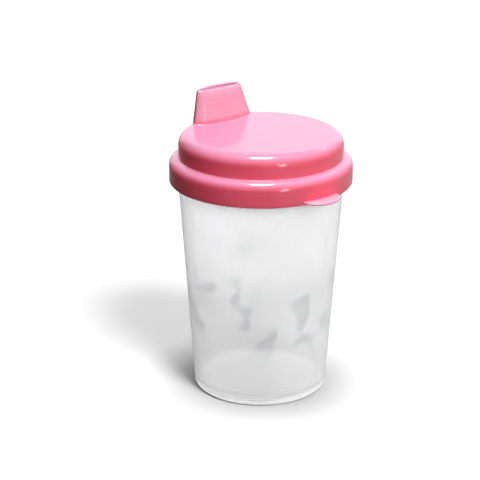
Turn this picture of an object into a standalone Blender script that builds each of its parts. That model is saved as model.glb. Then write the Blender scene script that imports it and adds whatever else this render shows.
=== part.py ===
"""A sippy cup: a frosted tumbler, a press-on lid with a moulded spout and pull tab, and a push-in valve.

Metres, +Z up. The origin is the centre of the tumbler's foot ring, at table level. The lid is modelled with
its spout towards +Y and its tab towards -Y, and an empty turns it about the cup's axis.
"""

import math

import bmesh
import bpy

# Driving dimensions
STEPS = 64  # segments round every turned piece
SPOUT_STEPS = 40  # sides of the spout's oval sections
GRIP_STEPS = 20
HOLE_STEPS = 16
TAB_STEPS = 16
CORNER_STEPS = 5  # segments in a quarter round
SMALL_CORNER_STEPS = 3
SPOUT_TURN = math.radians(45)  # from +Y to where the spout points
EDGE = 0.0004  # small edge breaks
FIT_GAP = 0.0003

# Tumbler
BASE_RADIUS = 0.0286  # where the outer wall's line would meet the table
WALL_SLOPE = 0.0718  # growth in radius for each unit of height
TUMBLER_WALL = 0.0014
TUMBLER_TOP = 0.1020
FLOOR_TOP = 0.0038
FLOOR_UNDER = 0.0022  # height of the recessed panel inside the foot ring
FOOT_CORNER = 0.0020
FOOT_INNER = 0.0246
INNER_FILLET = 0.0022
RIM_BEAD_RADIUS = 0.0367
RIM_BEAD_HEIGHT = 0.0030

# Lid
LID_WALL = 0.0014
SKIRT_RADIUS = 0.0390
SKIRT_BOTTOM = 0.0933
DOME_RADIUS = 0.0350
DOME_TOP = 0.1141
DOME_CORNER = 0.0050
SHOULDER_TOP = 0.1040  # where the dome's wall meets the rounded shoulder of the skirt
GROOVE_TOP = TUMBLER_TOP + EDGE
SNAP_BEAD_RADIUS = RIM_BEAD_RADIUS + FIT_GAP
PLUG_OUTER = 0.0336
PLUG_INNER = 0.0323
PLUG_BOTTOM = 0.0965

# Spout: elliptical sections (half width, half thickness, distance from the cup's axis)
SPOUT_TOP = 0.1280
SPOUT_BASE_SECTION = (0.0153, 0.0055, 0.0265)
SPOUT_TOP_SECTION = (0.0115, 0.0037, 0.0287)
SPOUT_WALL = 0.0013
SPOUT_LIP = 0.0011
RECESS_DEPTH = 0.0012
DRINK_HOLE_RADIUS = 0.0010
DRINK_HOLE_PITCH = 0.0052
DRINK_HOLES = 3

# The socket under the lid continues the spout downwards and holds the valve
SOCKET_BOTTOM = 0.1070
SOCKET_BORE_TOP = 0.1122

# Pull tab: the part of a disc that stands out of the skirt
TAB_RADIUS = 0.0098
TAB_REACH = 0.0060
TAB_THICKNESS = 0.0013

# Valve
VALVE_PLUG_TOP = 0.1115
VALVE_WALL = 0.0012
VALVE_MEMBRANE = 0.0008
VALVE_FLANGE_THICKNESS = 0.0014
VALVE_FLANGE_STEP = 0.0005  # how far the flange stays inside the socket's outline
SLIT_LENGTH = 0.0070
SLIT_WIDTH = 0.0003
GRIP_HALF_LENGTH = 0.0050
GRIP_HALF_THICKNESS = 0.0008
GRIP_DEPTH = 0.0052
GRIP_OFFSET = 0.0026  # towards the cup's axis, clear of the slit

MERGE = 0.00005
CUT_MARGIN = 0.0010

# Base colour (linear), roughness and alpha
FROSTED = (0.86, 0.87, 0.88), 0.45, 0.6
PINK = (0.80, 0.13, 0.20), 0.22, 1.0
SILICONE = (0.88, 0.88, 0.86), 0.5, 0.8


def clear_scene():
    for obj in list(bpy.data.objects):
        bpy.data.objects.remove(obj)


def collection(name):
    made = bpy.data.collections.new(name)
    bpy.context.scene.collection.children.link(made)
    return made


def material(name, colour, roughness, alpha):
    made = bpy.data.materials.new(name)
    made.use_nodes = True
    shader = made.node_tree.nodes["Principled BSDF"]
    shader.inputs["Base Color"].default_value = (*colour, 1.0)
    shader.inputs["Roughness"].default_value = roughness
    shader.inputs["Metallic"].default_value = 0.0
    shader.inputs["Alpha"].default_value = alpha
    return made


def add_object(name, mesh, where, parent=None):
    obj = bpy.data.objects.new(name, mesh)
    obj.parent = parent
    where.objects.link(obj)
    return obj


def arc(centre, radius, start, end, count):
    """Points along an arc, from start to end degrees, both ends included."""
    angles = [math.radians(start + (end - start) * i / count) for i in range(count + 1)]
    return [(centre[0] + radius * math.cos(a), centre[1] + radius * math.sin(a)) for a in angles]


def turned(name, profile, where, parent=None):
    """A profile of (radius, height) points, turned about the Z axis."""
    mesh = bpy.data.meshes.new(name)
    edges = [(i, i + 1) for i in range(len(profile) - 1)]
    mesh.from_pydata([(r, 0.0, z) for r, z in profile], edges, [])
    obj = add_object(name, mesh, where, parent)
    screw = obj.modifiers.new("turn", "SCREW")
    screw.axis = "Z"
    screw.angle = math.tau
    screw.steps = STEPS
    screw.render_steps = STEPS
    screw.use_merge_vertices = True
    screw.merge_threshold = MERGE
    screw.use_smooth_shade = True
    return obj


def ellipse(section, count=SPOUT_STEPS):
    """An elliptical outline for (half width, half thickness, distance from the cup's axis)."""
    half_width, half_thickness, distance = section
    turns = [math.tau * i / count for i in range(count)]
    return [(half_width * math.cos(a), distance + half_thickness * math.sin(a)) for a in turns]


def shrunk(section, wall):
    return (section[0] - wall, section[1] - wall, section[2])


def between(low, high, share):
    return tuple(a + (b - a) * share for a, b in zip(low, high))


def loft(name, sections, where, parent):
    """A closed solid through (outline, height) sections that have the same number of points."""
    bm = bmesh.new()
    rings = [[bm.verts.new((x, y, z)) for x, y in outline] for outline, z in sections]
    count = len(rings[0])
    for low, high in zip(rings, rings[1:]):
        for i in range(count):
            j = (i + 1) % count
            bm.faces.new((low[i], low[j], high[j], high[i]))
    bm.faces.new(list(reversed(rings[0])))
    bm.faces.new(rings[-1])
    mesh = bpy.data.meshes.new(name)
    bm.to_mesh(mesh)
    bm.free()
    return add_object(name, mesh, where, parent)


def prism(name, outline, low, high, where, parent):
    """An upright solid of constant section: the outline's face, extruded from low to high."""
    bm = bmesh.new()
    bm.faces.new([bm.verts.new((x, y, low)) for x, y in outline])
    top = bmesh.ops.extrude_face_region(bm, geom=bm.faces[:])["geom"]
    rise = (0.0, 0.0, high - low)
    bmesh.ops.translate(bm, vec=rise, verts=[v for v in top if isinstance(v, bmesh.types.BMVert)])
    bmesh.ops.recalc_face_normals(bm, faces=bm.faces)
    mesh = bpy.data.meshes.new(name)
    bm.to_mesh(mesh)
    bm.free()
    return add_object(name, mesh, where, parent)


def cylinder(name, radius, low, high, x, y, where, parent):
    mesh = bpy.data.meshes.new(name)
    bm = bmesh.new()
    bmesh.ops.create_cone(
        bm, cap_ends=True, segments=HOLE_STEPS, radius1=radius, radius2=radius, depth=high - low
    )
    bm.to_mesh(mesh)
    bm.free()
    obj = add_object(name, mesh, where, parent)
    obj.location = (x, y, (low + high) / 2)
    return obj


def combine(obj, operation, other):
    """Join a helper shape to an object, or cut it away. The helper isn't a piece of its own."""
    other.hide_render = True
    other.display_type = "WIRE"
    boolean = obj.modifiers.new(other.name, "BOOLEAN")
    boolean.operation = operation
    boolean.object = other
    boolean.solver = "EXACT"


def outer_radius(height):
    """The tumbler's outer wall, a straight taper."""
    return BASE_RADIUS + WALL_SLOPE * height


def tumbler_profile():
    """From the middle of the floor, up the inside, over the rim, and down the outside to the foot."""
    fillet_height = FLOOR_TOP + INNER_FILLET
    fillet_radius = outer_radius(fillet_height) - TUMBLER_WALL
    mouth_inner = outer_radius(TUMBLER_TOP) - TUMBLER_WALL
    bead_foot = TUMBLER_TOP - RIM_BEAD_HEIGHT
    neck = bead_foot - (RIM_BEAD_RADIUS - outer_radius(bead_foot))
    inside = [(0.0, FLOOR_TOP)]
    inside += arc((fillet_radius - INNER_FILLET, fillet_height), INNER_FILLET, -90, 0, SMALL_CORNER_STEPS)
    rim = [
        (mouth_inner, TUMBLER_TOP - EDGE),
        (mouth_inner + EDGE, TUMBLER_TOP),
        (RIM_BEAD_RADIUS - EDGE, TUMBLER_TOP),
        (RIM_BEAD_RADIUS, TUMBLER_TOP - EDGE),
        (RIM_BEAD_RADIUS, bead_foot),
        (outer_radius(neck), neck),
    ]
    foot_centre = (outer_radius(FOOT_CORNER) - FOOT_CORNER, FOOT_CORNER)
    foot = arc(foot_centre, FOOT_CORNER, 0, -90, SMALL_CORNER_STEPS)
    foot += [(FOOT_INNER, 0.0), (FOOT_INNER - EDGE, FLOOR_UNDER), (0.0, FLOOR_UNDER)]
    return inside + rim + foot


def lid_profile():
    """From the middle of the top, down the outside, and back up the inside."""
    shoulder = SKIRT_RADIUS - DOME_RADIUS
    shoulder_centre = (DOME_RADIUS, SHOULDER_TOP - shoulder)
    corner_centre = (DOME_RADIUS - DOME_CORNER, DOME_TOP - DOME_CORNER)
    skirt_inner = SKIRT_RADIUS - LID_WALL
    groove_radius = shoulder - LID_WALL
    groove_end = math.degrees(math.asin((GROOVE_TOP - shoulder_centre[1]) / groove_radius))
    bead_depth = skirt_inner - SNAP_BEAD_RADIUS
    bead_low = SKIRT_BOTTOM + 2 * LID_WALL
    bead_high = bead_low + LID_WALL
    outside = [(0.0, DOME_TOP)]
    outside += arc(corner_centre, DOME_CORNER, 90, 0, CORNER_STEPS)
    outside += arc(shoulder_centre, shoulder, 90, 0, CORNER_STEPS)
    outside += [(SKIRT_RADIUS, SKIRT_BOTTOM + EDGE), (SKIRT_RADIUS - EDGE, SKIRT_BOTTOM)]
    skirt = [
        (skirt_inner, SKIRT_BOTTOM),
        (skirt_inner, bead_low - bead_depth),
        (SNAP_BEAD_RADIUS, bead_low),
        (SNAP_BEAD_RADIUS, bead_high),
        (skirt_inner, bead_high + bead_depth),
    ]
    groove = arc(shoulder_centre, groove_radius, 0, groove_end, SMALL_CORNER_STEPS)
    plug = [
        (PLUG_OUTER, GROOVE_TOP),
        (PLUG_OUTER, PLUG_BOTTOM + EDGE),
        (PLUG_OUTER - EDGE, PLUG_BOTTOM),
        (PLUG_INNER, PLUG_BOTTOM),
        (PLUG_INNER, GROOVE_TOP),
        (DOME_RADIUS - LID_WALL, SHOULDER_TOP),
    ]
    inside = arc(corner_centre, DOME_CORNER - LID_WALL, 0, 90, CORNER_STEPS)
    inside += [(0.0, DOME_TOP - LID_WALL)]
    return outside + skirt + groove + plug + inside


def spout_section(height):
    """The spout's outline: constant in the socket, then tapering from the lid's top to the spout's."""
    share = max(0.0, (height - DOME_TOP) / (SPOUT_TOP - DOME_TOP))
    return between(SPOUT_BASE_SECTION, SPOUT_TOP_SECTION, share)


def tab_outline():
    """The disc's arc outside the skirt, closed by an arc in the middle of the skirt's wall."""
    centre = SKIRT_RADIUS + TAB_REACH - TAB_RADIUS
    root = SKIRT_RADIUS - LID_WALL / 2
    at_cup = math.acos((root**2 + centre**2 - TAB_RADIUS**2) / (2 * root * centre))
    at_tab = math.atan2(root * math.sin(at_cup), root * math.cos(at_cup) - centre)
    tab_angle, cup_angle = math.degrees(at_tab), math.degrees(at_cup)
    outer = arc((0.0, -centre), TAB_RADIUS, -90 - tab_angle, -90 + tab_angle, TAB_STEPS)
    inner = arc((0.0, 0.0), root, -90 + cup_angle, -90 - cup_angle, CORNER_STEPS)
    return outer + inner[1:-1]


def make_tumbler(where, finish):
    tumbler = turned("tumbler", tumbler_profile(), where)
    tumbler.data.materials.append(finish)


def spout_cutters(helpers, axis):
    """The channel through the spout, the recess in its top, and the drinking holes between them."""
    ceiling = SPOUT_TOP - RECESS_DEPTH - SPOUT_WALL
    bore = shrunk(SPOUT_BASE_SECTION, SPOUT_WALL)
    channel_sections = [
        (bore, SOCKET_BOTTOM - CUT_MARGIN),
        (bore, SOCKET_BORE_TOP),
        (shrunk(spout_section(ceiling), SPOUT_WALL), ceiling),
    ]
    channel = loft("spout_channel", [(ellipse(s), z) for s, z in channel_sections], helpers, axis)
    rim = ellipse(shrunk(SPOUT_TOP_SECTION, SPOUT_LIP))
    recess = prism("spout_recess", rim, SPOUT_TOP - RECESS_DEPTH, SPOUT_TOP + CUT_MARGIN, helpers, axis)
    holes = []
    for i in range(DRINK_HOLES):
        x = (i - (DRINK_HOLES - 1) / 2) * DRINK_HOLE_PITCH
        y = SPOUT_TOP_SECTION[2]
        name = f"drink_hole_{i + 1}"
        low, high = ceiling - CUT_MARGIN, SPOUT_TOP - RECESS_DEPTH / 2
        holes.append(cylinder(name, DRINK_HOLE_RADIUS, low, high, x, y, helpers, axis))
    return [channel, recess, *holes]


def make_lid(where, helpers, axis, finish):
    lid = turned("lid", lid_profile(), where, axis)
    lid.data.materials.append(finish)
    spout_sections = [
        (SPOUT_BASE_SECTION, SOCKET_BOTTOM),
        (SPOUT_BASE_SECTION, DOME_TOP),
        (spout_section(SPOUT_TOP - EDGE), SPOUT_TOP - EDGE),
        (shrunk(SPOUT_TOP_SECTION, EDGE), SPOUT_TOP),
    ]
    spout = loft("spout_outside", [(ellipse(s), z) for s, z in spout_sections], helpers, axis)
    tab_bottom = SKIRT_BOTTOM + EDGE
    tab = prism("pull_tab", tab_outline(), tab_bottom, tab_bottom + TAB_THICKNESS, helpers, axis)
    combine(lid, "UNION", spout)
    combine(lid, "UNION", tab)
    for cutter in spout_cutters(helpers, axis):
        combine(lid, "DIFFERENCE", cutter)


def make_valve(where, helpers, axis, finish):
    """A cup-shaped plug on a flange, closed by a slit membrane, with a tongue to pull it out by."""
    flange_top = SOCKET_BOTTOM - FIT_GAP
    flange_low = flange_top - VALVE_FLANGE_THICKNESS
    plug = shrunk(SPOUT_BASE_SECTION, SPOUT_WALL + FIT_GAP)
    flange = shrunk(SPOUT_BASE_SECTION, VALVE_FLANGE_STEP)
    outside = [
        (flange, flange_low),
        (flange, flange_top),
        (plug, flange_top),
        (plug, VALVE_PLUG_TOP - EDGE),
        (shrunk(plug, EDGE), VALVE_PLUG_TOP),
    ]
    valve = loft("spill_valve", [(ellipse(s), z) for s, z in outside], where, axis)
    valve.data.materials.append(finish)

    root = (GRIP_HALF_LENGTH, GRIP_HALF_THICKNESS, SPOUT_BASE_SECTION[2] - GRIP_OFFSET)
    flared = shrunk(root, -EDGE)
    tongue = [
        (root, flange_low - GRIP_DEPTH),
        (flared, flange_low - GRIP_DEPTH + EDGE),
        (root, flange_low - GRIP_DEPTH + 4 * EDGE),
        (root, flange_low + VALVE_MEMBRANE / 2),
    ]
    grip = loft("valve_grip", [(ellipse(s, GRIP_STEPS), z) for s, z in tongue], helpers, axis)
    combine(valve, "UNION", grip)

    pocket_floor = flange_low + VALVE_MEMBRANE
    hollow = ellipse(shrunk(plug, VALVE_WALL))
    pocket = prism("valve_pocket", hollow, pocket_floor, VALVE_PLUG_TOP + CUT_MARGIN, helpers, axis)
    combine(valve, "DIFFERENCE", pocket)

    half = (SLIT_LENGTH / 2, SLIT_WIDTH / 2)
    middle = SPOUT_BASE_SECTION[2]
    corners = [(-1, -1), (1, -1), (1, 1), (-1, 1)]
    opening = [(x * half[0], middle + y * half[1]) for x, y in corners]
    slit = prism("valve_slit", opening, flange_low - CUT_MARGIN, pocket_floor + CUT_MARGIN, helpers, axis)
    combine(valve, "DIFFERENCE", slit)


def main():
    clear_scene()
    cup = collection("sippy_cup")
    helpers = collection("cutters")
    lid_axis = add_object("lid_axis", None, cup)
    lid_axis.rotation_euler.z = SPOUT_TURN
    make_tumbler(cup, material("frosted_polypropylene", *FROSTED))
    make_lid(cup, helpers, lid_axis, material("pink_polypropylene", *PINK))
    make_valve(cup, helpers, lid_axis, material("clear_silicone", *SILICONE))


main()
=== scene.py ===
"""The looks of the sippy cup: a frosted tumbler, a glossy moulded lid and a silicone valve."""

import math

import bmesh
import bpy
import numpy as np
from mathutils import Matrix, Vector


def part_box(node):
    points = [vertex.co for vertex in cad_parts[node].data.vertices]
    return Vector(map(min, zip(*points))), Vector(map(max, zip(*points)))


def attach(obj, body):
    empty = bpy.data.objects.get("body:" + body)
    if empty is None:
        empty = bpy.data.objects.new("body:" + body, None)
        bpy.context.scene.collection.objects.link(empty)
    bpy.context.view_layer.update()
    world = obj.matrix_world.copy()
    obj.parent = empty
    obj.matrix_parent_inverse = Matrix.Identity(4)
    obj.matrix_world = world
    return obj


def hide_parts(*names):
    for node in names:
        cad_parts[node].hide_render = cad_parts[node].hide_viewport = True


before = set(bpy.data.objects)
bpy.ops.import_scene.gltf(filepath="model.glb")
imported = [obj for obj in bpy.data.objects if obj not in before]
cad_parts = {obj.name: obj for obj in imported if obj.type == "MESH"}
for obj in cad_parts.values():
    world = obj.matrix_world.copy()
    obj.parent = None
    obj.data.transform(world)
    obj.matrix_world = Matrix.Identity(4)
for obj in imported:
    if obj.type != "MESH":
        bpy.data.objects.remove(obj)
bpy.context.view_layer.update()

# Sizes that the frame gives
LID_LOW, LID_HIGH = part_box("lid")
TUMBLER_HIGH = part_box("tumbler")[1]
VALVE_LOW, VALVE_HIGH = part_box("spill_valve")
SKIRT_RADIUS = LID_HIGH.x
SKIRT_BOTTOM = LID_LOW.z
SPOUT_TOP = LID_HIGH.z
TUMBLER_TOP = TUMBLER_HIGH.z
RIM_BEAD_RADIUS = TUMBLER_HIGH.x

SPOKES = 240  # points round a ring
SPOUT_TURN = math.radians(45)  # from +Y to where the spout points
SHARP = math.radians(35)  # an edge that bends by more than this is shaded as a corner

# The design's other sizes, in metres
SLIVER = 0.00003  # vertices closer than this after a Boolean are one
EDGE = 0.0004  # the rounding of small edges
LID_WALL = 0.0014
DOME_RADIUS = 0.0350
DOME_TOP = 0.1141
DOME_CORNER = 0.0050
SHOULDER_TOP = 0.1040
SHOULDER_RADIUS = SKIRT_RADIUS - DOME_RADIUS
PLUG_OUTER = 0.0336
PLUG_INNER = 0.0323
PLUG_BOTTOM = 0.0965
GROOVE_TOP = TUMBLER_TOP + 0.0004
SNAP_BEAD_RADIUS = RIM_BEAD_RADIUS + 0.0003

# The spout. A section is a half width, a half thickness and a distance from the cup's axis.
SPOUT_BASE = np.array((0.0153, 0.0055, 0.0265))
SPOUT_TIP = np.array((0.0115, 0.0037, 0.0287))
SPOUT_WALL = 0.0013
SPOUT_LIP = 0.0011
SPOUT_ROOT_FILLET = 0.0007
RECESS_DEPTH = 0.0012
RECESS_FLOOR = SPOUT_TOP - RECESS_DEPTH
CHANNEL_CEILING = RECESS_FLOOR - SPOUT_WALL
SOCKET_BOTTOM = 0.1070
SOCKET_BORE_TOP = 0.1122
HOLE_RADIUS = 0.0010
HOLE_FLARE = 0.0003
HOLE_PITCH = 0.0052
HOLES = 3

TAB_RADIUS = 0.0098
TAB_REACH = 0.0060
TAB_THICKNESS = 0.0013

BASE_RADIUS = 0.0286
WALL_SLOPE = 0.0718
TUMBLER_WALL = 0.0014
FLOOR_TOP = 0.0038
FLOOR_UNDER = 0.0022
FOOT_CORNER = 0.0020
FOOT_INNER = 0.0246
INNER_FILLET = 0.0022
RIM_BEAD_HEIGHT = 0.0030

VALVE_WALL = 0.0012
VALVE_MEMBRANE = 0.0008
FLANGE_THICKNESS = 0.0014
FLANGE_STEP = 0.0005
SLIT_LENGTH = 0.0070
SLIT_WIDTH = 0.0003
GRIP = np.array((0.0050, 0.0008, 0.0239))
FIT_GAP = 0.0003


# ---------------------------------------------------------------- mesh helpers


def arc(centre, radius, start, end, count):
    """Points along an arc in the profile plane, from start to end degrees, both ends included."""
    angles = np.radians(np.linspace(start, end, count + 1))
    return [(centre[0] + radius * math.cos(a), centre[1] + radius * math.sin(a)) for a in angles]


def ring_mesh(name, rings):
    """Joins rings of equal length with quads, and caps both ends with a fan round the middle."""
    bm = bmesh.new()
    loops = [[bm.verts.new(p) for p in ring] for ring in rings]
    count = len(loops[0])
    for low, high in zip(loops, loops[1:]):
        for i in range(count):
            j = (i + 1) % count
            bm.faces.new((low[i], low[j], high[j], high[i]))
    for loop in (loops[0], loops[-1]):
        middle = bm.verts.new(sum((v.co for v in loop), Vector()) / count)
        for i in range(count):
            bm.faces.new((loop[i], loop[(i + 1) % count], middle))
    bmesh.ops.recalc_face_normals(bm, faces=bm.faces)
    mesh = bpy.data.meshes.new(name)
    bm.to_mesh(mesh)
    bm.free()
    piece = bpy.data.objects.new(name, mesh)
    bpy.context.scene.collection.objects.link(piece)
    return piece


def turned(name, profile, x=0.0, y=0.0, count=SPOKES):
    """A closed solid turned from a profile whose first and last points are near the axis."""
    angles = np.linspace(0, math.tau, count, endpoint=False)
    rings = [[(x + r * math.cos(a), y + r * math.sin(a), z) for a in angles] for r, z in profile]
    return ring_mesh(name, rings)


def combined(piece, operation, other):
    """Applies a Boolean and removes the other object."""
    modifier = piece.modifiers.new(other.name, "BOOLEAN")
    modifier.operation = operation
    modifier.object = other
    modifier.solver = "EXACT"
    bpy.context.view_layer.update()
    graph = bpy.context.evaluated_depsgraph_get()
    mesh = bpy.data.meshes.new_from_object(piece.evaluated_get(graph))
    piece.modifiers.clear()
    piece.data = mesh
    bpy.data.objects.remove(other)
    return piece


def without_slivers(piece):
    """Merges vertices that a Boolean leaves almost on top of each other, and drops faces without area."""
    work = bmesh.new()
    work.from_mesh(piece.data)
    bmesh.ops.remove_doubles(work, verts=work.verts, dist=SLIVER)
    bmesh.ops.dissolve_degenerate(work, edges=work.edges, dist=SLIVER)
    bmesh.ops.triangulate(work, faces=[f for f in work.faces if len(f.verts) > 4])
    bmesh.ops.dissolve_degenerate(work, edges=work.edges, dist=SLIVER)
    bmesh.ops.holes_fill(work, edges=work.edges, sides=4)
    work.to_mesh(piece.data)
    work.free()
    return piece


def smoothed(piece):
    piece.data.shade_smooth()
    piece.data.set_sharp_from_angle(angle=SHARP)
    return piece


def stand_for(piece, node, body, finish, turn=0.0):
    """Turns a piece into its place, hides its CAD node and puts it on the node's body."""
    spin = np.array([[math.cos(turn), -math.sin(turn)], [math.sin(turn), math.cos(turn)]])
    for v in piece.data.vertices:
        v.co.xy = spin @ np.array(v.co.xy)
    piece.data.materials.clear()
    piece.data.materials.append(finish)
    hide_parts(node)
    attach(piece, body)


# ------------------------------------------------------------------- the lid


def spoke_directions():
    """Unit vectors from the spout's foot to points spaced evenly round the dome."""
    turns = np.linspace(0, math.tau, SPOKES, endpoint=False)
    on_dome = DOME_RADIUS * np.stack((np.cos(turns), np.sin(turns)), 1)
    rays = on_dome - np.array((0.0, SPOUT_BASE[2]))
    return rays / np.linalg.norm(rays, axis=1)[:, None]


DIRECTIONS = spoke_directions()


def section(height):
    """The spout's half width, half thickness and distance from the axis: straight below the lid's top."""
    share = max(0.0, (height - DOME_TOP) / (SPOUT_TOP - DOME_TOP))
    return SPOUT_BASE + (SPOUT_TIP - SPOUT_BASE) * share


def shrunk(sizes, wall):
    """A section a wall smaller all round."""
    return sizes - np.array((wall, wall, 0.0))


def scaled(sizes, share):
    """A section with the same middle and a share of the width and thickness."""
    return sizes * np.array((share, share, 1))


def oval(sizes):
    """An elliptical outline, with a point where each spoke crosses it."""
    reach = 1 / np.hypot(DIRECTIONS[:, 0] / sizes[0], DIRECTIONS[:, 1] / sizes[1])
    return DIRECTIONS * reach[:, None] + np.array((0.0, sizes[2]))


def lift(outline, height):
    """An outline with a height, which may differ from point to point."""
    return np.column_stack((outline, np.broadcast_to(height, len(outline))))


def to_circle(outline, radius):
    """Where each spoke, continued past an outline, reaches a circle round the cup's axis."""
    along = (outline * DIRECTIONS).sum(1)
    square = (outline**2).sum(1)
    return -along + np.sqrt(along**2 - square + radius**2)


def roof_height(outline, wall):
    """The lid's top, or its underside a wall lower: flat, then rounded down to the dome's side."""
    reach = np.linalg.norm(outline, axis=1)
    corner = DOME_CORNER - wall
    over = np.clip(reach - (DOME_RADIUS - DOME_CORNER), 0, corner)
    return DOME_TOP - DOME_CORNER + np.sqrt(corner**2 - over**2)


def roof_rings(wall, sign, count):
    """From the spout's foot, round a fillet and across the lid's roof to the dome's side.

    wall is how far below the lid's top this surface lies, and sign is 1 above the roof and -1 below it.
    """
    rings = []
    for angle in np.radians(np.linspace(0, 90, 7)):
        rise = sign * SPOUT_ROOT_FILLET * (1 - math.sin(angle))
        outline = oval(section(DOME_TOP + rise)) + DIRECTIONS * SPOUT_ROOT_FILLET * (1 - math.cos(angle))
        rings.append(lift(outline, roof_height(outline, wall) + rise))
    start = rings[-1][:, :2]
    travel = to_circle(start, DOME_RADIUS - wall)
    for share in np.linspace(0, 1, count + 1)[1:]:
        outline = start + DIRECTIONS * (travel * (1 - (1 - share) ** 2))[:, None]
        rings.append(lift(outline, roof_height(outline, wall)))
    return rings


def round_rings(profile):
    """Rings round the cup's axis, on the same spokes as the roof's edge."""
    edge = oval(SPOUT_BASE)
    edge = edge + DIRECTIONS * to_circle(edge, DOME_RADIUS)[:, None]
    unit = edge / np.linalg.norm(edge, axis=1)[:, None]
    return [lift(unit * radius, height) for radius, height in profile]


def spout_rings():
    """From the middle of the recess, over the lip and down the outside of the spout."""
    recess = shrunk(SPOUT_TIP, SPOUT_LIP)
    rings = [lift(oval(scaled(recess, share)), RECESS_FLOOR) for share in (0.3, 0.7, 0.94)]
    rings += [lift(oval(recess), RECESS_FLOOR + EDGE / 2)]
    half = SPOUT_LIP / 2
    for angle in np.radians(np.linspace(180, 0, 11)):
        wall = half - half * math.cos(angle)
        height = SPOUT_TOP - half + half * math.sin(angle)
        rings.append(lift(oval(shrunk(section(height), wall)), height))
    for height in np.linspace(SPOUT_TOP - SPOUT_LIP, DOME_TOP + 2 * SPOUT_ROOT_FILLET, 12):
        rings.append(lift(oval(section(height)), height))
    return rings


def outside_profile():
    """Down the dome's side, over the shoulder, down the skirt and round its lower edge."""
    step = 0.0005  # the radius of the corner between dome and shoulder
    middle = (DOME_RADIUS, SHOULDER_TOP - SHOULDER_RADIUS)
    start = math.degrees(math.acos(step / SHOULDER_RADIUS))
    points = [(DOME_RADIUS, z) for z in np.linspace(DOME_TOP - DOME_CORNER, SHOULDER_TOP + step, 5)[1:]]
    points += arc((DOME_RADIUS + step, SHOULDER_TOP + step), step, 180, 270, 5)[1:-1]
    points += arc(middle, SHOULDER_RADIUS, start, 0, 16)
    points += [(SKIRT_RADIUS, z) for z in np.linspace(middle[1], SKIRT_BOTTOM + EDGE, 6)[1:-1]]
    points += arc((SKIRT_RADIUS - EDGE, SKIRT_BOTTOM + EDGE), EDGE, 0, -90, 5)
    return points


def inside_profile():
    """Up inside the skirt over the snap bead, round the groove and the plug ring, and up the dome."""
    inner = SKIRT_RADIUS - LID_WALL
    bead_depth = inner - SNAP_BEAD_RADIUS
    bead_middle = SKIRT_BOTTOM + 2.5 * LID_WALL
    groove_radius = SHOULDER_RADIUS - LID_WALL
    middle = (DOME_RADIUS, SHOULDER_TOP - SHOULDER_RADIUS)
    groove_end = math.degrees(math.asin((GROOVE_TOP - middle[1]) / groove_radius))
    plug_round = (PLUG_OUTER - PLUG_INNER) / 2
    points = arc((inner + EDGE, SKIRT_BOTTOM + EDGE), EDGE, 270, 180, 4)
    for share in np.linspace(-1, 1, 11):
        swell = bead_depth * (0.5 + 0.5 * math.cos(math.pi * share))
        points.append((inner - swell, bead_middle + share * 1.5 * LID_WALL))
    points += arc(middle, groove_radius, 0, groove_end, 8)
    points += [(PLUG_OUTER + EDGE, GROOVE_TOP), (PLUG_OUTER, GROOVE_TOP - EDGE)]
    points += [(PLUG_OUTER, GROOVE_TOP - LID_WALL)]
    points += arc((PLUG_INNER + plug_round, PLUG_BOTTOM + plug_round), plug_round, 0, -180, 8)
    points += [(PLUG_INNER, GROOVE_TOP), (DOME_RADIUS - LID_WALL - EDGE, SHOULDER_TOP - EDGE)]
    points += [(DOME_RADIUS - LID_WALL, SHOULDER_TOP + EDGE)]
    return points


def channel_rings():
    """Round the socket's lower edge and up the bore to the ceiling under the drinking holes."""
    rings = [lift(oval(SPOUT_BASE), SOCKET_BOTTOM + 2 * EDGE)]
    for angle in np.radians(np.linspace(0, 180, 7)):
        wall = SPOUT_WALL / 2 * (1 - math.cos(angle))
        height = SOCKET_BOTTOM + EDGE * (1 - math.sin(angle))
        rings.append(lift(oval(shrunk(SPOUT_BASE, wall)), height))
    bore = shrunk(SPOUT_BASE, SPOUT_WALL)
    top = shrunk(section(CHANNEL_CEILING), SPOUT_WALL)
    rings.append(lift(oval(bore), SOCKET_BORE_TOP))
    for share in np.linspace(0, 1, 8)[1:]:
        height = SOCKET_BORE_TOP + (CHANNEL_CEILING - EDGE - SOCKET_BORE_TOP) * share
        rings.append(lift(oval(bore + (top - bore) * share), height))
    for share in (1, 0.4):
        rings.append(lift(oval(scaled(shrunk(top, EDGE), share)), CHANNEL_CEILING))
    return rings


def pull_tab():
    """A thin disc with a rounded rim, cut off inside the skirt's wall."""
    centre = SKIRT_RADIUS + TAB_REACH - TAB_RADIUS
    half = TAB_THICKNESS / 2
    middle = SKIRT_BOTTOM + EDGE + half
    core = 0.001  # the innermost ring's radius
    profile = [(core, middle - half), (TAB_RADIUS / 2, middle - half)]
    profile += arc((TAB_RADIUS - half, middle), half, -90, 90, 8)
    profile += [(TAB_RADIUS / 2, middle + half), (core, middle + half)]
    tab = turned("pull_tab", profile, 0.0, -centre, 160)
    root = SKIRT_RADIUS - LID_WALL / 2
    low, high = 0.08, 0.11  # well below and above the tab
    cutter = turned("tab_root", [(core, low), (root, low), (root, high), (core, high)])
    return combined(tab, "DIFFERENCE", cutter)


def drink_hole(x):
    """The cutter for one drinking hole, flared at both ends."""
    core = 0.0002  # the innermost ring's radius
    wide = HOLE_RADIUS + HOLE_FLARE
    low = CHANNEL_CEILING - EDGE
    high = RECESS_FLOOR + EDGE
    profile = [(core, low), (wide, low), (wide, CHANNEL_CEILING), (HOLE_RADIUS, CHANNEL_CEILING + HOLE_FLARE)]
    profile += [(HOLE_RADIUS, RECESS_FLOOR - HOLE_FLARE), (wide, RECESS_FLOOR), (wide, high), (core, high)]
    return turned("drink_hole", profile, x, SPOUT_TIP[2], 48)


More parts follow.
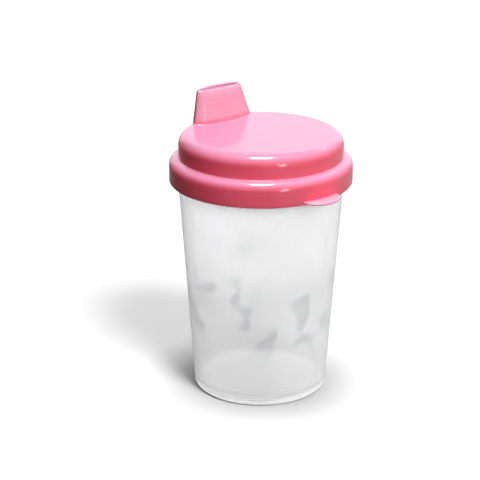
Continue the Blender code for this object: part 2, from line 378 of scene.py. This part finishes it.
def make_lid(finish):
    rings = spout_rings() + roof_rings(0.0, 1, 44)
    rings += round_rings(outside_profile() + inside_profile())
    rings += roof_rings(LID_WALL, -1, 24)[::-1] + channel_rings()
    lid = ring_mesh("lid_shell", rings)
    lid = combined(lid, "UNION", pull_tab())
    for i in range(HOLES):
        lid = combined(lid, "DIFFERENCE", drink_hole((i - (HOLES - 1) / 2) * HOLE_PITCH))
    lid = smoothed(without_slivers(lid))
    stand_for(lid, "lid", "snap_lid", finish, SPOUT_TURN)
    return lid


# --------------------------------------------------------------- the tumbler


def wall_radius(height):
    """The tumbler's outer radius: a plain taper, widest at the top."""
    return BASE_RADIUS + WALL_SLOPE * height


def tumbler_profile():
    """From the middle of the floor, up the inside, over the rim, and down the outside to the foot."""
    fillet_height = FLOOR_TOP + INNER_FILLET
    fillet_radius = wall_radius(fillet_height) - TUMBLER_WALL
    inner_top = wall_radius(TUMBLER_TOP) - TUMBLER_WALL
    bead_foot = TUMBLER_TOP - RIM_BEAD_HEIGHT
    points = [(0.0005, FLOOR_TOP), (0.008, FLOOR_TOP), (0.018, FLOOR_TOP)]
    points += arc((fillet_radius - INNER_FILLET, fillet_height), INNER_FILLET, -90, 0, 10)
    for height in np.linspace(fillet_height, TUMBLER_TOP - EDGE, 24)[1:-1]:
        points.append((wall_radius(height) - TUMBLER_WALL, height))
    points += arc((inner_top + EDGE, TUMBLER_TOP - EDGE), EDGE, 180, 90, 4)
    points += arc((RIM_BEAD_RADIUS - 2 * EDGE, TUMBLER_TOP - 2 * EDGE), 2 * EDGE, 90, 0, 6)
    points += [(RIM_BEAD_RADIUS, bead_foot + EDGE)]
    points += arc((RIM_BEAD_RADIUS - EDGE, bead_foot + EDGE), EDGE, 0, -60, 4)[1:]
    points += [(wall_radius(bead_foot - 2 * EDGE), bead_foot - 2 * EDGE)]
    for height in np.linspace(bead_foot - 2 * EDGE, FOOT_CORNER, 28)[1:-1]:
        points.append((wall_radius(height), height))
    points += arc((wall_radius(FOOT_CORNER) - FOOT_CORNER, FOOT_CORNER), FOOT_CORNER, 0, -90, 12)
    points += arc((FOOT_INNER + EDGE, EDGE), EDGE, 270, 180, 4)
    points += arc((FOOT_INNER - EDGE, FLOOR_UNDER - EDGE), EDGE, 0, 90, 4)
    points += [(0.012, FLOOR_UNDER), (0.0005, FLOOR_UNDER)]
    return points


def make_tumbler(finish):
    tumbler = smoothed(turned("tumbler_shell", tumbler_profile()))
    stand_for(tumbler, "tumbler", "cup", finish)
    return tumbler


# ----------------------------------------------------------------- the valve


def make_valve(finish):
    """A cup-shaped plug on a flange, closed by a slit membrane, with a tongue to pull it out by."""
    flange_top = SOCKET_BOTTOM - FIT_GAP
    flange_low = flange_top - FLANGE_THICKNESS
    plug = shrunk(SPOUT_BASE, SPOUT_WALL + FIT_GAP)
    flange = shrunk(SPOUT_BASE, FLANGE_STEP)
    hollow = shrunk(plug, VALVE_WALL)
    top = VALVE_HIGH.z
    half = FLANGE_THICKNESS / 2
    rings = [lift(oval(scaled(flange, share)), flange_low) for share in (0.3, 0.75)]
    for angle in np.radians(np.linspace(-90, 90, 9)):
        wall = half * (1 - math.cos(angle))
        rings.append(lift(oval(shrunk(flange, wall)), flange_low + half + half * math.sin(angle)))
    rings += [lift(oval(shrunk(plug, -EDGE / 2)), flange_top), lift(oval(plug), flange_top + EDGE)]
    rings += [lift(oval(plug), z) for z in np.linspace(flange_top + 2 * EDGE, top - 2 * EDGE, 5)]
    for angle in np.radians(np.linspace(0, 180, 9)):
        wall = VALVE_WALL / 2 * (1 - math.cos(angle))
        rings.append(lift(oval(shrunk(plug, wall)), top - EDGE + EDGE * math.sin(angle)))
    pocket_floor = flange_low + VALVE_MEMBRANE
    rings += [lift(oval(hollow), z) for z in np.linspace(top - 2 * EDGE, pocket_floor + EDGE, 5)]
    rings += [lift(oval(scaled(shrunk(hollow, EDGE), share)), pocket_floor) for share in (1, 0.4)]
    valve = ring_mesh("valve_body", rings)

    low = VALVE_LOW.z
    swells = [(low, -EDGE), (low + EDGE, 0.0), (low + 2 * EDGE, EDGE / 2), (low + 4 * EDGE, EDGE / 2)]
    swells += [(low + 6 * EDGE, 0.0), (flange_low - EDGE, 0.0), (flange_low, EDGE)]
    swells += [(flange_low + VALVE_MEMBRANE / 2, EDGE)]
    tongue = [lift(oval(shrunk(GRIP, -swell)), height) for height, swell in swells]
    valve = combined(valve, "UNION", ring_mesh("grip", tongue))

    opening = oval(np.array((SLIT_LENGTH / 2, SLIT_WIDTH / 2, SPOUT_BASE[2])))
    slit = [lift(opening, z) for z in (flange_low - EDGE, pocket_floor + EDGE)]
    valve = combined(valve, "DIFFERENCE", ring_mesh("slit", slit))
    valve = smoothed(without_slivers(valve))
    stand_for(valve, "spill_valve", "valve", finish, SPOUT_TURN)
    return valve


# ----------------------------------------------------------------- materials


class Nodes:
    """A material's node tree, with short ways to add and link nodes. Patterns stay fixed to the piece."""

    def __init__(self, name):
        self.material = bpy.data.materials.new(name)
        self.material.use_nodes = True
        self.tree = self.material.node_tree
        self.shader = self.tree.nodes["Principled BSDF"]
        self.place = self.tree.nodes.new("ShaderNodeTexCoord").outputs["Object"]

    def noise(self, scale, detail, roughness=0.5):
        node = self.tree.nodes.new("ShaderNodeTexNoise")
        node.inputs["Scale"].default_value = scale
        node.inputs["Detail"].default_value = detail
        node.inputs["Roughness"].default_value = roughness
        self.tree.links.new(self.place, node.inputs["Vector"])
        return node.outputs["Fac"]

    def spread(self, value, low, high, to_low=0.0, to_high=1.0):
        """Maps a value's stretch from low to high smoothly onto another stretch. low may be the larger."""
        node = self.tree.nodes.new("ShaderNodeMapRange")
        node.interpolation_type = "SMOOTHSTEP"
        self.tree.links.new(value, node.inputs["Value"])
        for socket, number in zip(("From Min", "From Max", "To Min", "To Max"), (low, high, to_low, to_high)):
            node.inputs[socket].default_value = number
        return node.outputs["Result"]

    def times(self, a, b):
        node = self.tree.nodes.new("ShaderNodeMath")
        node.operation = "MULTIPLY"
        self.tree.links.new(a, node.inputs[0])
        self.tree.links.new(b, node.inputs[1])
        return node.outputs["Value"]

    def part(self, vector, axis):
        """A vector's X, Y or Z."""
        node = self.tree.nodes.new("ShaderNodeSeparateXYZ")
        self.tree.links.new(vector, node.inputs["Vector"])
        return node.outputs[axis]

    def height(self):
        return self.part(self.place, "Z")

    def facing(self, axis):
        """How far the surface faces along X, Y or Z."""
        return self.part(self.tree.nodes.new("ShaderNodeNewGeometry").outputs["Normal"], axis)

    def radius(self):
        """The distance from the cup's axis."""
        flat = self.tree.nodes.new("ShaderNodeVectorMath")
        flat.operation = "MULTIPLY"
        flat.inputs[1].default_value = (1, 1, 0)
        self.tree.links.new(self.place, flat.inputs[0])
        length = self.tree.nodes.new("ShaderNodeVectorMath")
        length.operation = "LENGTH"
        self.tree.links.new(flat.outputs["Vector"], length.inputs[0])
        return length.outputs["Value"]

    def mix(self, share, first, second):
        """Blends two colours. Each is a tuple or another node's colour."""
        node = self.tree.nodes.new("ShaderNodeMix")
        node.data_type = "RGBA"
        self.tree.links.new(share, node.inputs["Factor"])
        for socket, colour in ((node.inputs[6], first), (node.inputs[7], second)):
            if isinstance(colour, tuple):
                socket.default_value = (*colour, 1.0)
            else:
                self.tree.links.new(colour, socket)
        return node.outputs[2]

    def bump(self, height, strength, distance):
        node = self.tree.nodes.new("ShaderNodeBump")
        node.inputs["Strength"].default_value = strength
        node.inputs["Distance"].default_value = distance
        self.tree.links.new(height, node.inputs["Height"])
        self.tree.links.new(node.outputs["Normal"], self.shader.inputs["Normal"])

    def feed(self, socket, value):
        """Drives one of the shader's inputs with a node."""
        self.tree.links.new(value, self.shader.inputs[socket])

    def fix(self, **values):
        """Sets the shader's inputs to constants, with underscores for the spaces in their names."""
        for name, value in values.items():
            self.shader.inputs[name.replace("_", " ")].default_value = value


# Heights between which the tumbler's plastic changes, from its first state to its second; under the rim it is
# a painted shadow, and at the foot a painted highlight
PAINTED_SHADOW_UNDER_RIM = 0.108, 0.084
MID_WALL = 0.068, 0.046
PATCHES_START = 0.020, 0.030
PATCHES_END = 0.062, 0.052
PAINTED_LIGHT_AT_FOOT = 0.0036, 0.0024
FOOT_CLEARING = 0.0012, 0.0020


def pink_plastic():
    """Glossy moulded polypropylene, faintly clouded, with painted light: paler where it faces up, on the
    spout and on the tab; and painted shade on the spout's left-facing end.
    """
    n = Nodes("pink_polypropylene")
    height = n.height()
    cloud = n.spread(n.noise(60, 2), 0.35, 0.65)
    wall = n.mix(cloud, (0.87, 0.090, 0.148), (0.91, 0.104, 0.166))
    # Painted light: the lid's colour turns paler where it faces up, as if lit from above.
    top_painted_lighter = n.mix(n.spread(n.facing("Z"), 0.1, 0.9), wall, (0.83, 0.29, 0.45))
    # Painted light: the spout is paler than the lid's walls, and paler still towards its tip, as if lit
    # through its thin plastic.
    at_tip = n.spread(height, SPOUT_TOP - 0.004, SPOUT_TOP)
    spout_painted_light_and_shade = n.mix(at_tip, (0.77, 0.29, 0.40), (0.82, 0.36, 0.50))
    # Painted shade: where the spout faces left, its colour is darker.
    spout_painted_light_and_shade = n.mix(n.spread(n.facing("X"), -0.40, -0.65), spout_painted_light_and_shade, (0.55, 0.075, 0.125))
    over_dome = n.spread(height, DOME_TOP, DOME_TOP + 0.003)
    # Painted light: the tab past the skirt is paler, as if lit through its thin plastic.
    past_skirt = n.spread(n.radius(), SKIRT_RADIUS, SKIRT_RADIUS + TAB_REACH / 2)
    n.feed("Base Color", n.mix(past_skirt, n.mix(over_dome, top_painted_lighter, spout_painted_light_and_shade), (0.88, 0.40, 0.52)))
    n.feed("Roughness", n.spread(n.noise(220, 4, 0.6), 0.35, 0.7, 0.11, 0.17))
    n.bump(n.noise(450, 3), 0.05, 0.0002)
    n.fix(IOR=1.49, Subsurface_Weight=0.4, Subsurface_Scale=0.006)
    n.shader.inputs["Subsurface Radius"].default_value = (1.0, 0.25, 0.3)
    return n.material


def frosted_plastic():
    """Natural polypropylene, finely frosted and patchy: a painted shadow greys it under the lid's rim, it is
    darker below the middle of the wall, and a painted highlight makes it palest at the foot.
    """
    n = Nodes("frosted_polypropylene")
    height = n.height()
    # Painted shadow: the wall is greyer just under the lid's rim, where the lid's skirt shades it.
    upper_with_painted_shadow = n.mix(n.spread(height, *PAINTED_SHADOW_UNDER_RIM), (0.52, 0.52, 0.525), (0.95, 0.95, 0.955))
    # Painted highlight: the wall is palest at the foot, where its rounded corner catches the light.
    lower_with_painted_light = n.mix(n.spread(height, *PAINTED_LIGHT_AT_FOOT), (0.83, 0.83, 0.835), (0.98, 0.98, 0.98))
    plain = n.mix(n.spread(height, *MID_WALL), upper_with_painted_shadow, lower_with_painted_light)
    haze = n.spread(n.noise(30, 2), 0.35, 0.65, 0.0, 0.4)
    cloudy = n.mix(haze, plain, (0.86, 0.86, 0.87))
    band = n.times(n.spread(height, *PATCHES_START), n.spread(height, *PATCHES_END))
    patches = n.spread(n.noise(105, 1.2, 0.4), 0.54, 0.60, 0.0, 0.45)
    n.feed("Base Color", n.mix(n.times(band, patches), cloudy, (0.55, 0.555, 0.565)))
    n.feed("Transmission Weight", n.spread(height, *FOOT_CLEARING, 0.5, 0.75))
    n.feed("Roughness", n.spread(n.noise(300, 3), 0.3, 0.7, 0.15, 0.20))
    n.fix(IOR=1.49, Coat_Weight=0.5, Coat_Roughness=0.18, Coat_IOR=1.49)
    return n.material


def clear_silicone():
    """Satin silicone, a little cloudy, with the faint dust that it always picks up."""
    n = Nodes("clear_silicone")
    cloud = n.spread(n.noise(180, 3), 0.35, 0.65)
    n.feed("Base Color", n.mix(cloud, (0.84, 0.84, 0.82), (0.92, 0.92, 0.90)))
    n.feed("Roughness", n.spread(n.noise(700, 3), 0.3, 0.7, 0.4, 0.55))
    n.bump(n.noise(1200, 2), 0.08, 0.0001)
    n.fix(IOR=1.41, Subsurface_Weight=0.4, Subsurface_Scale=0.003)
    return n.material


# ------------------------------------------------------- stage, light, camera

CAMERA_AZIMUTH = math.radians(5.0)
CAMERA_ELEVATION = math.radians(20.68)
CAMERA_DISTANCE = 0.7397
CAMERA_LENS = 128.3
AIM_HEIGHT = 0.060
AIM_LEFT = math.radians(0.69)
AIM_UP = math.radians(0.40)
FLOOR_HALF = 4.0


def towards(azimuth, elevation):
    """The unit vector to a place seen round the cup, with azimuth 0 in front, growing to the right."""
    a = azimuth + CAMERA_AZIMUTH
    flat = math.cos(elevation)
    return Vector((math.sin(a) * flat, -math.cos(a) * flat, math.sin(elevation)))


def make_camera():
    """A camera that circles the middle of the cup and is then turned a little off it, to the left and up."""
    data = bpy.data.cameras.new("camera")
    data.lens = CAMERA_LENS
    data.sensor_width = 36
    data.clip_start = 0.05
    data.clip_end = 20
    camera = bpy.data.objects.new("camera", data)
    bpy.context.scene.collection.objects.link(camera)
    away = towards(0.0, CAMERA_ELEVATION)
    camera.location = Vector((0, 0, AIM_HEIGHT)) + away * CAMERA_DISTANCE
    look = -away
    side = look.cross(Vector((0, 0, 1))).normalized()
    up = side.cross(look)
    look = look * math.cos(AIM_UP) + up * math.sin(AIM_UP)
    look = look * math.cos(AIM_LEFT) - side * math.sin(AIM_LEFT)
    camera.rotation_euler = look.to_track_quat("-Z", "Y").to_euler()
    bpy.context.scene.camera = camera


def make_floor():
    """A white sheet, which takes shadows but gives the cup neither soft light nor a reflection."""
    mesh = bpy.data.meshes.new("floor")
    bm = bmesh.new()
    bmesh.ops.create_grid(bm, x_segments=1, y_segments=1, size=FLOOR_HALF)
    bm.to_mesh(mesh)
    bm.free()
    floor = bpy.data.objects.new("floor", mesh)
    bpy.context.scene.collection.objects.link(floor)
    paper = bpy.data.materials.new("paper")
    paper.use_nodes = True
    shader = paper.node_tree.nodes["Principled BSDF"]
    shader.inputs["Base Color"].default_value = (0.93, 0.93, 0.93, 1)
    shader.inputs["Roughness"].default_value = 0.9
    mesh.materials.append(paper)
    floor.visible_diffuse = floor.visible_glossy = False
    return floor


# Each light: its name, what it lights, what it adds (soft shading or gloss), its azimuth and elevation in
# degrees, and its strength. A sun then has an angle in degrees. A panel has a distance, a width and a height.
# Each lights one thing only: no shared set gives the lid, the tumbler and the floor their tones at once.
SUNS = [
    ("lid_sky", "lid", "soft", 0, 89.9, 1.10, 40),
    ("lid_back_key", "lid", "soft", 100, 70, 0.16, 25),
    ("lid_low_key", "lid", "soft", 34, 5, 0.92, 25),
    ("lid_left_fill", "lid", "soft", -60, 10, 0.12, 25),
    ("lid_back_fill", "lid", "soft", 180, 5, 0.35, 60),
    ("floor_key", "floor", "soft", 32, 48, 0.76, 20),
    ("floor_sky", "floor", "soft", 0, 89.9, 0.13, 60),
    ("floor_overhead", "floor", "soft", 0, 89.9, 0.64, 22),
]
PANELS = [
    ("lid_backdrop", "lid", "gloss", 180, 20, 0.29, 1.2, 1.6, 1.0),
    ("lid_softbox", "lid", "gloss", 3, 80, 13.0, 0.9, 0.26, 0.22),
    ("lid_edge", "lid", "gloss", 147, 42, 2.2, 0.9, 0.7, 0.04),
    ("lid_sheen", "lid", "gloss", 28, 8, 2.8, 0.9, 0.14, 0.4),
    ("tumbler_left", "tumbler", "soft", -60, 20, 1.80, 1.0, 1.6, 1.0),
    ("tumbler_front", "tumbler", "soft", 0, 50, 0.53, 1.0, 1.6, 1.0),
    ("tumbler_right", "tumbler", "soft", 68, 20, 1.62, 1.0, 1.6, 1.0),
    ("tumbler_back", "tumbler", "soft", 180, 25, 1.6, 1.2, 1.6, 1.0),
    ("tumbler_sheen", "tumbler", "gloss", 33, 12, 36.0, 0.9, 0.12, 0.45),
    ("tumbler_left_edge", "tumbler", "gloss", -110, 15, 4.0, 0.9, 0.3, 0.5),
    ("tumbler_right_edge", "tumbler", "gloss", 110, 15, 4.0, 0.9, 0.3, 0.5),
]
# The world's strength at its left and its right end. It adds gloss, and light through the tumbler's wall.
WORLD_LEFT = 0.02
WORLD_RIGHT = 0.80


def place_light(name, lit, effect, azimuth, elevation, distance, data):
    """Points a light at the cup, to light one collection only."""
    light = bpy.data.objects.new(name, data)
    bpy.context.scene.collection.objects.link(light)
    away = towards(math.radians(azimuth), math.radians(elevation))
    light.location = Vector((0, 0, AIM_HEIGHT)) + away * distance
    light.rotation_euler = (-away).to_track_quat("-Z", "Y").to_euler()
    light.visible_camera = False
    light.visible_diffuse = light.visible_transmission = effect == "soft"
    light.visible_glossy = effect == "gloss"
    light.light_linking.receiver_collection = lit


def make_lights(groups):
    for name, lit, effect, azimuth, elevation, strength, angle in SUNS:
        data = bpy.data.lights.new(name, "SUN")
        data.energy = math.pi * strength
        data.angle = math.radians(angle)
        place_light(name, groups[lit], effect, azimuth, elevation, 1.0, data)
    for name, lit, effect, azimuth, elevation, strength, distance, width, height in PANELS:
        data = bpy.data.lights.new(name, "AREA")
        data.shape = "RECTANGLE"
        data.size, data.size_y = width, height
        data.energy = math.pi**2 * width * height * strength
        place_light(name, groups[lit], effect, azimuth, elevation, distance, data)


def make_world():
    """A background that grows brighter from left to right."""
    world = bpy.data.worlds.new("studio")
    bpy.context.scene.world = world
    world.use_nodes = True
    tree = world.node_tree
    direction = tree.nodes.new("ShaderNodeTexCoord").outputs["Generated"]
    split = tree.nodes.new("ShaderNodeSeparateXYZ")
    ramp = tree.nodes.new("ShaderNodeMapRange")
    for socket, number in zip(("From Min", "From Max", "To Min", "To Max"), (-1, 1, WORLD_LEFT, WORLD_RIGHT)):
        ramp.inputs[socket].default_value = number
    tree.links.new(direction, split.inputs["Vector"])
    tree.links.new(split.outputs["X"], ramp.inputs["Value"])
    tree.links.new(ramp.outputs["Result"], tree.nodes["Background"].inputs["Strength"])
    tree.nodes["Background"].inputs["Color"].default_value = (1, 1, 1, 1)
    world.cycles_visibility.diffuse = False


def group(name, *pieces):
    members = bpy.data.collections.new(name)
    for piece in pieces:
        members.objects.link(piece)
    return members


make_camera()
floor = make_floor()
tumbler = make_tumbler(frosted_plastic())
lid = make_lid(pink_plastic())
valve = make_valve(clear_silicone())
tumbler.visible_diffuse = False  # so no light bounces off it to the lid or the floor
make_lights({
    "floor": group("lit_floor", floor),
    "tumbler": group("lit_tumbler", tumbler),
    "lid": group("lit_lid", lid, valve),
})
make_world()
bpy.context.scene.view_settings.view_transform = "Standard"
